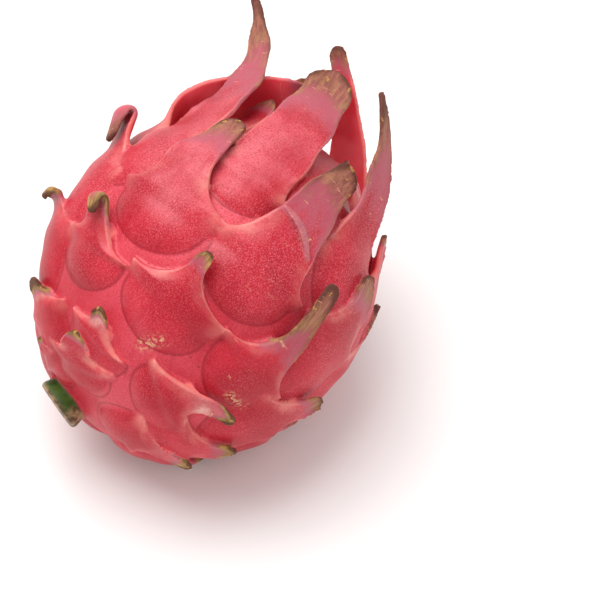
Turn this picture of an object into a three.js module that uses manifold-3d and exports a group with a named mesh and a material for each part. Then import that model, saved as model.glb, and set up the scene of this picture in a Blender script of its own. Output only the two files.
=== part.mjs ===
// A whole red dragon fruit (pitaya), lying on its side on a small flat spot, in millimetres, +Z up.
// The stem end points to -X and the crown of long bracts to +X, curving upwards.
// The origin is the middle of the flat spot. The fruit grew as one piece, so it is one solid:
// a bent egg, the scales that grow out of it, each with a swollen foot, and the cut stem.
import * as THREE from "three";
import { mergeVertices } from "three/addons/utils/BufferGeometryUtils.js";
import Module from "manifold-3d";

const wasm = await Module();
wasm.setup();

const DEG = Math.PI / 180;

// The body: a bent egg. Its growth line is an arc in the XZ plane.
const BODY_HALF_LENGTH = 47.5;
const BODY_RADIUS = 42.5;
const BODY_MIDDLE = new THREE.Vector3(9, 0, 42.8); // the growth line's middle
const GROWTH_TILT = 17 * DEG; // of the growth line's middle above the horizontal
const GROWTH_BEND = 35 * DEG; // from the stem end to the crown
const CROWN_HOLLOW = { depth: 8, radius: 10 }; // where the flower dropped off
const STEM_HOLLOW = { depth: 2, radius: 8 };
const BODY_SIDES = 36;
const BODY_RINGS = 18;

// Every scale has a swollen foot and a blade that leaves the body above it.
const FOOT_HEIGHT = 2.8;
const FOOT_SINK = 1.2; // how far the foot's edge lies below the body's surface
const FOOT_ROUNDNESS = 0.6; // the power of the foot's profile: the lower, the flatter its top
const ROOT_DEPTH = 3.2; // of the blade's inner face below the surface, under the foot
const BLADE_LIFT = 0.8; // of the blade above the foot's top, where the blade comes free
const RIM_HEIGHT = 1.3; // of the blade's margin above the body, where neighbours' margins meet
const LIP = 0.7; // how much the blade's margin is raised round the foot above it
const FULL_SIZE_HALF = 13; // a scale with a smaller half width has a lower foot
const THICK_AT_FOOT = 3.2;
const THICK_AT_TIP = 1.6;
const EDGE_THINNING = 0.45; // the share of the thickness that the blade loses at its margins
const BEND_ROUND_BODY = 1 / 44; // the blade's curvature from margin to margin, per millimetre
const LIP_NARROWNESS = 6; // the power of the lip's profile across the blade
const BEND_LOST_AT_TIP = 0.6; // the share of that curvature
const WEB_WIDENING = 1.08; // of the blade where neighbours' margins meet

// How finely a scale is faceted, along it and across it.
const FOOT_STEPS = [-0.97, -0.7, 0];
const NEST_TURNS = [0, 35, 65, 90];
const STRAP_STEP = 11;
const LAST_STRAP_ROW = 0.35; // the share of a step that it lies before the tip
const TIP_ROUNDING = 0.45; // the tip's last row against the tip's half width
const SHORTEST_STRAP = 2;
const OUTER_COLUMNS = [-1, -0.6, 0, 0.6, 1];
const INNER_COLUMNS = [1, 0, -1];
const CAP = [[0, 7, 1], [1, 7, 6], [1, 6, 2], [2, 6, 3], [3, 6, 5], [3, 5, 4]];
const STEPS_PER_BLADE = 40;
const REST_CUT_SIZE = 400; // of the block that cuts the flat spot the fruit rests on
const SAME_PLACE = 1e-4; // vertices nearer than this are one
const JOIN_TOLERANCE = 0.03; // edges shorter than this, left where solids cross, are closed up

// The stump of the stem: heights above the body's surface, with the radius there.
const STEM = {
  psi: 19,
  theta: 224,
  outline: [[-5, 6.5], [1.5, 7.2], [3.4, 7.5], [4.2, 6.6]],
  dish: 0.8,
  sides: 12,
};

// The rings of scales, from the stem end to the crown. Lengths are in millimetres and angles in
// degrees. psi is the place along the body, 0 at the stem end and 180 at the crown; theta goes
// round it, 0 on top and 90 on the -Y side. The blade is widest at the web, where the margins of
// neighbours meet; then it narrows to the neck, round the nest of a foot in the next ring.
const RINGS = [
  {
    name: "stem", psi: 14, count: 3, first: 345,
    half: 9, reach: 9, web: 4, nest: 4, neck: 5, tip: 3, length: 11, lean: 0, curl: 5, hook: 0,
  },
  {
    name: "low", psi: 34, count: 7, first: -4,
    half: 11.5, reach: 12, web: 6, nest: 8, neck: 4, tip: 1.6, length: 20, lean: 4, curl: 15, hook: 0,
  },
  {
    name: "middle", psi: 61, count: 9, first: -20,
    half: 13.5, reach: 14, web: 8, nest: 11, neck: 4.5, tip: 1.8, length: 24, lean: 6, curl: 15, hook: 10,
  },
  {
    name: "upper", psi: 90, count: 9, first: -2,
    half: 14.5, reach: 16, web: 8, nest: 13, neck: 6, tip: 2.6, length: 34, lean: 8, curl: 30, hook: 10,
  },
  {
    name: "shoulder", psi: 117, count: 9, first: -24,
    half: 13, reach: 14, web: 8, nest: 14, neck: 7.5, tip: 3, length: 54, lean: 6, curl: 60, hook: 10,
  },
  {
    name: "crown", psi: 139, count: 7, first: 5,
    half: 10.5, reach: 10, web: 6, nest: 10, neck: 6, tip: 2.6, length: 42, lean: 12, curl: 50, hook: 0,
  },
  {
    name: "throat", psi: 158, count: 3, first: 30,
    half: 6.5, reach: 5, web: 4, nest: 6, neck: 4.5, tip: 2, length: 25, lean: 8, curl: 20, hook: 0,
  },
];

// The scales that differ from the rule of their ring. A scale that isn't alike on both sides has its
// own web, nest and neck on the left, towards smaller theta, or on the right.
const SEEN = {
  "stem 0": { psi: 15, theta: 350, half: 11, reach: 9, length: 12 },
  "stem 1": {
    psi: 18, theta: 106, half: 10, reach: 10, web: 4, nest: 8, neck: 3.5, tip: 1.2, length: 22, lean: 2,
    curl: 12, swing: 50,
  },
  "stem 2": {
    psi: 16, theta: 292, half: 8, reach: 7, web: 3, nest: 4, neck: 2.6, tip: 1.2, length: 10, lean: 6,
    curl: 20, swing: 10,
  },
  "low 0": {
    psi: 29, theta: 4, half: 11, reach: 9, web: 4, nest: 5, neck: 2.5, tip: 1.2, length: 13, lean: 6,
    curl: 20, swing: -30, left: { web: 6, nest: 4 }, right: { web: 0.5, nest: 9 },
  },
  "low 1": {
    psi: 35, theta: 64, half: 12.5, reach: 8.5, web: 4, nest: 8, neck: 3, tip: 1.2, length: 22, lean: 2,
    curl: 15, swing: 86, left: { web: 4, nest: 9 }, right: { web: 2, nest: 9 },
  },
  "low 6": { psi: 29, theta: 303, length: 13, lean: 2, curl: 20, swing: 0 },
  "middle 0": {
    psi: 59, theta: 341, half: 12.5, reach: 9.5, web: 4, nest: 9, neck: 3, tip: 1.8, length: 20,
    lean: 8, curl: 40, hook: 80, swing: -24, left: { web: 6, nest: 7, neck: 4 },
    right: { web: 1.5, nest: 12 },
  },
  "middle 1": {
    psi: 58, theta: 24, half: 14, reach: 10.5, web: 6, nest: 10, neck: 2.6, tip: 1.1, length: 21.5,
    lean: 6, curl: 12, hook: 30, swing: -10, left: { web: 5, nest: 12, neck: 3 },
    right: { web: 7.5, nest: 9, neck: 2 },
  },
  "middle 2": {
    psi: 66, theta: 66, half: 13, reach: 11, web: 4, nest: 14, neck: 3.4, tip: 2.2, length: 34, lean: 6,
    curl: 12, swing: -22, left: { web: 3.5, nest: 16 }, right: { web: 5, nest: 12 },
  },
  "middle 8": {
    psi: 57, theta: 304, half: 12, tip: 1, length: 23, lean: 20, curl: 80, hook: 50, swing: 0,
  },
  "upper 0": {
    psi: 90, theta: 358, half: 15, reach: 11.5, web: 6, nest: 12, neck: 6, tip: 3.4, length: 37,
    lean: 6, curl: 22, swing: -24, left: { web: 4, nest: 13, neck: 10 },
    right: { web: 7.5, nest: 11, neck: 3.4 },
  },
  "upper 1": {
    psi: 93, theta: 39, half: 14.5, reach: 12.5, web: 5, nest: 12, neck: 7.5, tip: 3.2, length: 49,
    lean: 6, curl: 26, swing: 18, left: { web: 6, nest: 16, neck: 6.5 },
    right: { web: 4, nest: 9, neck: 10 },
  },
  "upper 2": { theta: 86, length: 28, lean: 2, curl: 12 },
  "upper 3": { length: 28, lean: 2, curl: 12 },
  "upper 7": { length: 24, lean: 0 },
  "upper 8": {
    psi: 85, theta: 312, half: 13, tip: 2.6, length: 31, lean: 34, curl: 60, hook: 150, swing: -20,
  },
  "shoulder 0": {
    psi: 110, theta: 328, neck: 7.2, tip: 0.9, length: 75, lean: 20, curl: 128, hook: 0, swing: -74,
  },
  "shoulder 1": {
    psi: 122, theta: 14, half: 11, reach: 9, web: 4, nest: 8, neck: 10, tip: 6.2, length: 60, lean: 16,
    curl: 62, hook: 25, swing: -15,
  },
  "shoulder 2": {
    psi: 116, theta: 76, neck: 7, tip: 0.8, length: 59, lean: 35, curl: 14, hook: 0, swing: -4,
  },
  "shoulder 3": {
    psi: 108, theta: 108, neck: 6, tip: 1.2, length: 30, lean: -4, curl: 30, hook: 0, swing: 0,
  },
  "shoulder 4": {
    psi: 121, theta: 162, neck: 8.2, tip: 2.4, length: 70, lean: 6, curl: 50, hook: 0, swing: 24,
    twist: -15,
  },
  "shoulder 5": { theta: 190, neck: 9, length: 36, curl: 24, swing: 6 },
  "shoulder 6": { theta: 228, neck: 9, length: 42, curl: 30, swing: 0, twist: 14 },
  "shoulder 7": {
    psi: 119, theta: 258, neck: 10, tip: 3.5, length: 50, lean: 10, curl: 50, hook: 0, swing: 0,
    twist: 20,
  },
  "shoulder 8": {
    psi: 108, theta: 293, half: 14, neck: 11, tip: 5, length: 58, lean: 21, curl: 8, hook: 0, swing: 0,
    twist: 48,
  },
  "crown 0": { theta: 0, length: 20, lean: 4, curl: 20 },
  "crown 1": {
    psi: 136, theta: 48, half: 12.5, neck: 9, tip: 6.5, length: 31, lean: 2, curl: 4, swing: 0,
  },
  "crown 2": { length: 24, lean: 4, curl: 20 },
  "crown 3": { length: 22, lean: 4, curl: 20 },
  "crown 4": { length: 26, lean: 4, curl: 20 },
  "crown 5": { length: 26, lean: 4, curl: 20 },
  "crown 6": { tip: 3, length: 23, lean: 26, curl: 50, swing: -26 },
  "throat 0": { length: 16, lean: 16 },
  "throat 1": { length: 15, lean: 16 },
  "throat 2": { length: 17, lean: 16 },
};

// A small seeded generator, so the scales differ a little and always in the same way.
let seed = 20261;
function chance(spread) {
  seed = (seed * 16807) % 2147483647;
  return (seed / 2147483647 - 0.5) * 2 * spread;
}

const mix = (a, b, t) => a + (b - a) * t;
const clamp01 = (t) => Math.min(1, Math.max(0, t));
const ease = (t) => clamp01(t) ** 2 * (3 - 2 * clamp01(t));

// The growth line at s millimetres from its middle: its point and its upper normal.
function growthLine(s) {
  const curvature = GROWTH_BEND / (2 * BODY_HALF_LENGTH);
  const angle = GROWTH_TILT + curvature * s;
  const x = (Math.sin(angle) - Math.sin(GROWTH_TILT)) / curvature;
  const z = (Math.cos(GROWTH_TILT) - Math.cos(angle)) / curvature;
  return {
    point: BODY_MIDDLE.clone().add(new THREE.Vector3(x, 0, z)),
    upper: new THREE.Vector3(-Math.sin(angle), 0, Math.cos(angle)),
  };
}

const SIDE = new THREE.Vector3(0, -1, 0);

// The smooth body's surface, with the two hollows at its ends.
function bodyPoint(psi, theta) {
  const radius = BODY_RADIUS * Math.sin(psi);
  const hollow = psi > Math.PI / 2 ? CROWN_HOLLOW : STEM_HOLLOW;
  const inward = hollow.depth * Math.exp(-((radius / hollow.radius) ** 2));
  const reach = BODY_HALF_LENGTH * Math.abs(Math.cos(psi)) - inward;
  const line = growthLine(psi > Math.PI / 2 ? reach : -reach);
  return line.point
    .addScaledVector(line.upper, radius * Math.cos(theta))
    .addScaledVector(SIDE, radius * Math.sin(theta));
}

// The directions at a place on the body: along it to the crown, outwards, and across.
function bodyFrame(psi, theta) {
  const small = 0.02;
  const along = bodyPoint(psi + small, theta).sub(bodyPoint(psi - small, theta));
  const perRadian = along.length() / (2 * small);
  along.normalize();
  const across = bodyPoint(psi, theta + small).sub(bodyPoint(psi, theta - small)).normalize();
  const out = across.clone().cross(along).normalize();
  return { along, across, out, perRadian };
}

function makeScales() {
  const scales = [];
  for (const ring of RINGS) {
    for (let i = 0; i < ring.count; i += 1) {
      const drawn = {
        psi: ring.psi + chance(2),
        theta: ring.first + (360 / ring.count) * i + chance(3),
        length: ring.length * (1 + chance(0.1)),
        lean: ring.lean + chance(3),
        curl: ring.curl + chance(12),
        swing: chance(12),
        twist: 0,
      };
      scales.push({ ...ring, ...drawn, ...SEEN[`${ring.name} ${i}`] });
    }
  }
  return scales;
}

const onSide = (scale, side) => ({ ...scale, ...scale[side] });

// One side of a scale's outline: places along it, from its foot to its tip, with its half width there.
function outlineOf(scale, side) {
  const { half, reach, web, nest, neck, tip, length } = onSide(scale, side);
  const rows = FOOT_STEPS.map((t) => ({ v: t * reach, half: half * Math.sqrt(1 - t * t) }));
  for (const turn of NEST_TURNS) {
    rows.push({
      v: web + nest * (1 - Math.cos(turn * DEG)),
      half: mix(half * WEB_WIDENING, neck, Math.sin(turn * DEG)),
    });
  }
  const strap = length - web - nest;
  const count = Math.max(1, Math.round((scale.length - scale.web - scale.nest) / STRAP_STEP));
  for (let i = 1; i <= count; i += 1) {
    const t = i / (count + LAST_STRAP_ROW);
    rows.push({ v: web + nest + Math.max(strap, SHORTEST_STRAP) * t, half: mix(neck, tip, t) });
  }
  rows.push({ v: web + nest + Math.max(strap, SHORTEST_STRAP), half: tip * TIP_ROUNDING });
  return rows;
}

// The scale's middle line: on the body as far as the web, then it leans out, curls, swings and twists.
function middleLine(scale) {
  const psi = scale.psi * DEG;
  const theta = scale.theta * DEG;
  const { perRadian } = bodyFrame(psi, theta);
  const webPsi = psi + scale.web / perRadian;
  const start = bodyPoint(webPsi, theta);
  const frame = bodyFrame(webPsi, theta);
  const freeLength = scale.length - scale.web;
  const directionAt = (s) => {
    const free = s / freeLength;
    const degrees =
      scale.lean * ease(s / scale.nest) +
      scale.curl * free ** 1.5 +
      scale.hook * clamp01((free - 0.7) / 0.3) ** 2;
    const rise = degrees * DEG - s / perRadian;
    const turn = scale.swing * DEG * free;
    const along = frame.along.clone().multiplyScalar(Math.cos(turn));
    along.addScaledVector(frame.across, Math.sin(turn));
    const across = frame.across.clone().multiplyScalar(Math.cos(turn));
    across.addScaledVector(frame.along, -Math.sin(turn));
    const direction = along.clone().multiplyScalar(Math.cos(rise));
    direction.addScaledVector(frame.out, Math.sin(rise));
    const out = frame.out.clone().multiplyScalar(Math.cos(rise));
    out.addScaledVector(along, -Math.sin(rise));
    const twist = scale.twist * DEG * ease(2 * free);
    return {
      direction,
      across: across.clone().multiplyScalar(Math.cos(twist)).addScaledVector(out, Math.sin(twist)),
      out: out.clone().multiplyScalar(Math.cos(twist)).addScaledVector(across, -Math.sin(twist)),
    };
  };
  return (v) => {
    if (v <= scale.web) {
      const here = psi + v / perRadian;
      return { point: bodyPoint(here, theta), ...bodyFrame(here, theta) };
    }
    const point = start.clone();
    const step = (v - scale.web) / STEPS_PER_BLADE;
    for (let i = 0; i < STEPS_PER_BLADE; i += 1) {
      point.addScaledVector(directionAt((i + 0.5) * step).direction, step);
    }
    return { point, ...directionAt(v - scale.web) };
  };
}

// How high the outer face stands above the middle line; c runs from -1 to 1 across the scale, and
// web and nest are its own there.
function outerLift(scale, { v, c, web, nest }) {
  const size = clamp01(scale.half / FULL_SIZE_HALF);
  const height = FOOT_HEIGHT * size;
  const t = Math.min(v, 0) / scale.reach;
  const swelling = ((1 - c * c) * (1 - t * t)) ** FOOT_ROUNDNESS;
  const foot = (height + FOOT_SINK) * swelling - FOOT_SINK;
  const past = (v - web) / nest;
  const blade = height + BLADE_LIFT * size;
  const low = (blade - RIM_HEIGHT * size) * Math.abs(c) ** 3 * (1 - ease(past));
  const lip = LIP * size * c ** LIP_NARROWNESS * clamp01(2 - past);
  return mix(foot, blade - low + lip, ease(v / web));
}

function innerLift(scale, place) {
  const { v, c, web, nest } = place;
  const along = clamp01((v - scale.web) / (scale.length - scale.web));
  const thickness = mix(THICK_AT_FOOT, THICK_AT_TIP, along) * (1 - EDGE_THINNING * c * c);
  return mix(-ROOT_DEPTH, outerLift(scale, place) - thickness, ease((v - web) / nest));
}

function scaleSolid(scale) {
  const line = middleLine(scale);
  const leftRows = outlineOf(scale, "left");
  const rightRows = outlineOf(scale, "right");
  const left = onSide(scale, "left");
  const right = onSide(scale, "right");
  const point = (row, c, lift) => {
    const share = (c + 1) / 2;
    const v = mix(leftRows[row].v, rightRows[row].v, share);
    const u = c * (c < 0 ? leftRows : rightRows)[row].half;
    const web = mix(left.web, right.web, share);
    const nest = mix(left.nest, right.nest, share);
    const middle = line(v);
    const free = clamp01((v - scale.web) / (scale.length - scale.web));
    const bend = BEND_ROUND_BODY * (1 - BEND_LOST_AT_TIP * free);
    return middle.point
      .addScaledVector(middle.across, u)
      .addScaledVector(middle.out, lift(scale, { v, c, web, nest }) - (bend * u * u) / 2);
  };
  const rings = leftRows.map((_, row) => [
    ...OUTER_COLUMNS.map((c) => point(row, c, outerLift)),
    ...INNER_COLUMNS.map((c) => point(row, c, innerLift)),
  ]);
  const { positions, index, sides } = tubeOfRings(rings);
  const last = (rings.length - 1) * sides;
  for (const [a, b, c] of CAP) index.push(a, b, c, last + a, last + c, last + b);
  return manifoldOf(positions, index);
}

// Joins closed rings of points, one after the other, into an open-ended tube.
function tubeOfRings(rings) {
  const positions = rings.flat().flatMap((p) => [p.x, p.y, p.z]);
  const index = [];
  const sides = rings[0].length;
  for (let r = 0; r + 1 < rings.length; r += 1) {
    for (let i = 0; i < sides; i += 1) {
      const a = r * sides + i;
      const b = r * sides + ((i + 1) % sides);
      index.push(a, b, a + sides, b, b + sides, a + sides);
    }
  }
  return { positions, index, sides };
}

function manifoldOf(positions, index) {
  const geometry = new THREE.BufferGeometry();
  geometry.setAttribute("position", new THREE.Float32BufferAttribute(positions, 3));
  geometry.setIndex(index);
  const merged = mergeVertices(geometry, SAME_PLACE);
  return new wasm.Manifold(
    new wasm.Mesh({
      numProp: 3,
      vertProperties: merged.attributes.position.array,
      triVerts: new Uint32Array(merged.index.array),
    }),
  );
}

// Closes a tube at both ends with a point each.
function pointedSolid(rings, firstPoint, lastPoint) {
  const { positions, index, sides } = tubeOfRings(rings);
  const last = (rings.length - 1) * sides;
  const pole = positions.length / 3;
  for (const p of [firstPoint, lastPoint]) positions.push(p.x, p.y, p.z);
  for (let i = 0; i < sides; i += 1) {
    const next = (i + 1) % sides;
    index.push(pole, next, i, pole + 1, last + i, last + next);
  }
  return manifoldOf(positions, index);
}

function bodySolid() {
  const rings = [];
  for (let j = 1; j < BODY_RINGS; j += 1) {
    const ring = [];
    for (let i = 0; i < BODY_SIDES; i += 1) {
      const theta = (2 * Math.PI * (i + 0.5 * (j % 2))) / BODY_SIDES;
      ring.push(bodyPoint((Math.PI * j) / BODY_RINGS, theta));
    }
    rings.push(ring);
  }
  return pointedSolid(rings, bodyPoint(0, 0), bodyPoint(Math.PI, 0));
}

// The cut stem: a short stump with a flared rim of cork.
function stemSolid() {
  const root = bodyPoint(STEM.psi * DEG, STEM.theta * DEG);
  const { out, across, along } = bodyFrame(STEM.psi * DEG, STEM.theta * DEG);
  const rings = STEM.outline.map(([height, radius]) => {
    const ring = [];
    for (let i = 0; i < STEM.sides; i += 1) {
      const turn = (2 * Math.PI * i) / STEM.sides;
      ring.push(
        root
          .clone()
          .addScaledVector(out, height)
          .addScaledVector(across, radius * Math.cos(turn))
          .addScaledVector(along, radius * Math.sin(turn)),
      );
    }
    return ring;
  });
  const [below] = STEM.outline[0];
  const [above] = STEM.outline[STEM.outline.length - 1];
  return pointedSolid(
    rings,
    root.clone().addScaledVector(out, below),
    root.clone().addScaledVector(out, above - STEM.dish),
  );
}

function restCut() {
  const size = REST_CUT_SIZE;
  const box = new THREE.BoxGeometry(size, size, size);
  box.deleteAttribute("normal");
  box.deleteAttribute("uv");
  box.translate(0, 0, -size / 2);
  const merged = mergeVertices(box);
  return manifoldOf(Array.from(merged.attributes.position.array), Array.from(merged.index.array));
}

function fruitGeometry() {
  let fruit = bodySolid().add(stemSolid());
  for (const scale of makeScales()) fruit = fruit.add(scaleSolid(scale));
  fruit = fruit.subtract(restCut()).setTolerance(JOIN_TOLERANCE);
  // The outer surface alone: a hollow that the joining sealed is filled, a loose scrap is dropped.
  const surfaces = fruit.decompose().sort((a, b) => b.volume() - a.volume());
  const mesh = surfaces[0].getMesh();
  const geometry = new THREE.BufferGeometry();
  geometry.setAttribute("position", new THREE.BufferAttribute(mesh.vertProperties, 3));
  geometry.setIndex(new THREE.BufferAttribute(mesh.triVerts, 1));
  geometry.computeVertexNormals();
  return geometry;
}

const rind = new THREE.MeshStandardMaterial({ color: 0xd94a5e, roughness: 0.5, metalness: 0 });
const fruit = new THREE.Mesh(fruitGeometry(), rind);
fruit.name = "dragon_fruit";

const group = new THREE.Group();
group.add(fruit);

export default group;
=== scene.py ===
"""A whole red dragon fruit lying on its side on a plain pale floor, in soft studio light.

The frame holds the fruit as one plain solid, node "dragon_fruit". One finer mesh replaces it: the same
body, scales, crown bracts and stem stump, built from the same rule at a higher resolution, joined into
one skin, and painted by procedural nodes from what each place on the skin is.
Lengths below are in millimetres and angles in degrees, unless a name says otherwise.
"""
import math

import bpy
import numpy as np
from mathutils import Matrix, Vector
from mathutils.kdtree import KDTree


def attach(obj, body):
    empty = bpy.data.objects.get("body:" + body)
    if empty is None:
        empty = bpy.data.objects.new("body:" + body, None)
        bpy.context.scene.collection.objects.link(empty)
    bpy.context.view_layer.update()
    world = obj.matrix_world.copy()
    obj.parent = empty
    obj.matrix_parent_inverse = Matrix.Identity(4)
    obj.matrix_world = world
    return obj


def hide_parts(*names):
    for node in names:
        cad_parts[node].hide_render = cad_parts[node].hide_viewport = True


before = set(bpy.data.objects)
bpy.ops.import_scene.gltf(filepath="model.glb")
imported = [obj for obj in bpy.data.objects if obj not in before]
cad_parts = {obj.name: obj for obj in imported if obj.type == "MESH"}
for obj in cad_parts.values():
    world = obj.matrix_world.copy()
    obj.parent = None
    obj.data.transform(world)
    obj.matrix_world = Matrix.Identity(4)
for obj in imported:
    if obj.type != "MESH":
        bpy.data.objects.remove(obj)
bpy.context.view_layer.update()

MM = 0.001
NODE = "dragon_fruit"

# The body, as in the frame: a bent egg round a growth line that is an arc in the XZ plane.
BODY_HALF_LENGTH = 47.5
BODY_RADIUS = 42.5
BODY_MIDDLE = np.array([9.0, 0.0, 42.8])
GROWTH_TILT = math.radians(17)
GROWTH_BEND = math.radians(35)
CROWN_HOLLOW = (8.0, 10.0)  # depth, radius
STEM_HOLLOW = (2.0, 8.0)
SIDE = np.array([0.0, -1.0, 0.0])

# A scale's foot and blade.
FOOT_HEIGHT = 2.8
FOOT_SINK = 1.2
FOOT_ROUNDNESS = 0.6
ROOT_DEPTH = 3.2
BLADE_LIFT = 0.8
RIM_HEIGHT = 1.3
LIP = 0.7
LIP_NARROWNESS = 6
THICK_AT_FOOT = 3.0
THICK_AT_TIP = 1.5
EDGE_THINNING = 0.5
BEND_ROUND_BODY = 1 / 44
WEB_WIDENING = 1.08
BEND_EASES = 0.6  # how much flatter across a blade is at its tip
LEAVES_BODY = 0.8  # the inner face is clear of the body at this share of the nest

# Slow and quick waves along the margins, up and sideways: height, radians per millimetre, phase.
WAVES_UP = ((0.4, 0.31, 1), (0.06, 1.1, 2))
WAVES_OUT = ((0.3, 0.37, 3), (0.03, 1.7, 1))
WAVE_PHASES = (2.7, 1.3)  # what each further scale and each side adds to the phase
WAVES_NARROWNESS = 4

# The rings of scales from the stem end to the crown, as in the frame. psi and theta place a scale's
# foot on the body, first being the first theta of a ring. half is its half width, reach how far the foot
# goes back, and web, nest, neck, tip and length shape the blade from the foot to its end. lean, curl,
# hook, swing, twist and fold are the angles by which the blade turns.
RINGS = [
    dict(name="stem", psi=14, count=3, first=345, half=9, reach=9, web=4, nest=4, neck=5, tip=3,
         length=11, lean=0, curl=5, hook=0),
    dict(name="low", psi=34, count=7, first=-4, half=11.5, reach=12, web=6, nest=8, neck=4, tip=1.6,
         length=20, lean=4, curl=15, hook=0),
    dict(name="middle", psi=61, count=9, first=-20, half=13.5, reach=14, web=8, nest=11, neck=4.5,
         tip=1.8, length=24, lean=6, curl=15, hook=10),
    dict(name="upper", psi=90, count=9, first=-2, half=14.5, reach=16, web=8, nest=13, neck=6, tip=2.6,
         length=34, lean=8, curl=30, hook=10),
    dict(name="shoulder", psi=117, count=9, first=-24, half=13, reach=14, web=8, nest=14, neck=7.5,
         tip=3, length=54, lean=6, curl=60, hook=10),
    dict(name="crown", psi=139, count=7, first=5, half=10.5, reach=10, web=6, nest=10, neck=6, tip=2.6,
         length=42, lean=12, curl=50, hook=0),
    dict(name="throat", psi=158, count=3, first=30, half=6.5, reach=5, web=4, nest=6, neck=4.5, tip=2,
         length=25, lean=8, curl=20, hook=0),
]

# The scales that show have measures of their own, some of them only on the left or the right side.
SEEN = {
    "stem 0": dict(psi=15, theta=350, half=11, reach=9, length=12),
    "stem 1": dict(psi=18, theta=106, half=10, reach=10, web=4, nest=8, neck=3.5, tip=1.2, length=22,
                   lean=2, curl=12, swing=50, dry_edge=0.7, bleach=0.3),
    "stem 2": dict(psi=16, theta=292, half=8, reach=7, web=3, nest=4, neck=2.6, tip=1.2, length=10,
                   lean=6, curl=20, swing=10),
    "low 0": dict(psi=29, theta=4, half=11, reach=9, web=4, nest=5, neck=2.5, tip=1.2, length=13, lean=6,
                  curl=20, swing=-30, dry=0.7, dry_edge=1.2, bleach=0.8, left=dict(web=6, nest=4),
                  right=dict(web=0.5, nest=9)),
    "low 1": dict(psi=35, theta=64, half=12.5, reach=8.5, web=4, nest=8, neck=3, tip=1.2, length=22,
                  lean=2, curl=15, swing=86, dry=0.75, dry_edge=1.1, bleach=0.9,
                  left=dict(web=4, nest=9), right=dict(web=2, nest=9)),
    "low 6": dict(psi=29, theta=303, length=13, lean=2, curl=20, swing=0, dry_edge=0.8, bleach=0.4),
    "middle 0": dict(psi=59, theta=341, half=12.5, reach=9.5, web=4, nest=9, neck=3, tip=1.8,
                     length=20.5, lean=8, curl=30, hook=0, fold=160, fold_from=0.62, swing=-24,
                     dry_edge=0.9, left=dict(web=6, nest=7, neck=4), right=dict(web=1.5, nest=12)),
    "middle 1": dict(psi=58, theta=24, half=14, reach=10.5, web=6, nest=10, neck=2.6, tip=1.1,
                     length=21.5, lean=6, curl=12, hook=30, swing=-10, left=dict(web=5, nest=12, neck=3),
                     right=dict(web=7.5, nest=9, neck=2)),
    "middle 2": dict(psi=66, theta=66, half=13, reach=11, web=4, nest=14, neck=3.4, tip=2.2, length=34,
                     lean=6, curl=12, swing=-22, dry=0.3, dry_edge=0.6, left=dict(web=3.5, nest=16),
                     right=dict(web=5, nest=12)),
    "middle 8": dict(psi=57, theta=304, half=12, tip=1, length=22, lean=20, curl=40, hook=0, fold=120,
                     swing=0),
    "upper 0": dict(psi=90, theta=358, half=15, reach=11.5, web=6, nest=12, neck=6, tip=3.4, length=37,
                    lean=6, curl=22, swing=-24, dry=0.55, left=dict(web=4, nest=13, neck=10),
                    right=dict(web=7.5, nest=11, neck=3.4)),
    "upper 1": dict(psi=93, theta=39, half=14.5, reach=12.5, web=5, nest=12, neck=7.5, tip=3.2,
                    length=49, lean=6, curl=26, swing=18, dry=0.38, left=dict(web=6, nest=16, neck=6.5),
                    right=dict(web=4, nest=9, neck=10)),
    "upper 2": dict(theta=86, length=28, lean=2, curl=12),
    "upper 3": dict(length=28, lean=2, curl=12),
    "upper 7": dict(length=24, lean=0),
    "upper 8": dict(psi=85, theta=312, half=13, neck=6, tip=2.0, length=35.5, lean=36, curl=20, hook=0,
                    fold=185, fold_from=0.57, swing=-20, dry=0.66),
    "shoulder 0": dict(psi=110, theta=328, neck=7.2, tip=0.9, length=75, lean=20, curl=128, hook=0,
                       swing=-74, dry=0.42),
    "shoulder 1": dict(psi=122, theta=14, half=11, reach=9, web=4, nest=8, neck=10, tip=6.2, length=60,
                       lean=16, curl=62, hook=25, swing=-15, dry=0.6),
    "shoulder 2": dict(psi=116, theta=76, neck=7, tip=0.8, length=59, lean=35, curl=14, hook=0, swing=-4,
                       dry=0.42, dry_edge=0.5),
    "shoulder 3": dict(psi=108, theta=108, neck=6, tip=1.2, length=30, lean=-4, curl=30, hook=0, swing=0,
                       dry=0.85),
    "shoulder 4": dict(psi=121, theta=162, neck=8.2, tip=2.4, length=70, lean=6, curl=50, hook=0,
                       swing=24, twist=-15, dry=0.88),
    "shoulder 5": dict(theta=190, neck=9, length=36, curl=24, swing=6, dry=0.9),
    "shoulder 6": dict(theta=228, neck=9, length=42, curl=30, swing=0, twist=14, dry=0.9),
    "shoulder 7": dict(psi=119, theta=258, neck=10, tip=3.5, length=50, lean=10, curl=50, hook=0, swing=0,
                       twist=20, dry=0.85),
    "shoulder 8": dict(psi=108, theta=293, half=14, neck=11, tip=5, length=58, lean=21, curl=8, hook=0,
                       swing=0, twist=48, dry=0.85),
    "crown 0": dict(theta=0, length=20, lean=4, curl=20, dry=0.8),
    "crown 1": dict(psi=136, theta=48, half=12.5, neck=9, tip=6.5, length=31, lean=2, curl=4, swing=0,
                    dry=1.2),
    "crown 2": dict(length=24, lean=4, curl=20, dry=0.9),
    "crown 3": dict(length=22, lean=4, curl=20, dry=0.9),
    "crown 4": dict(length=26, lean=4, curl=20, dry=0.9),
    "crown 5": dict(length=26, lean=4, curl=20, dry=0.9),
    "crown 6": dict(tip=3, length=23, lean=26, curl=50, swing=-26, dry=0.7),
    "throat 0": dict(length=16, lean=16),
    "throat 1": dict(length=15, lean=16),
    "throat 2": dict(length=17, lean=16),
}

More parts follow.
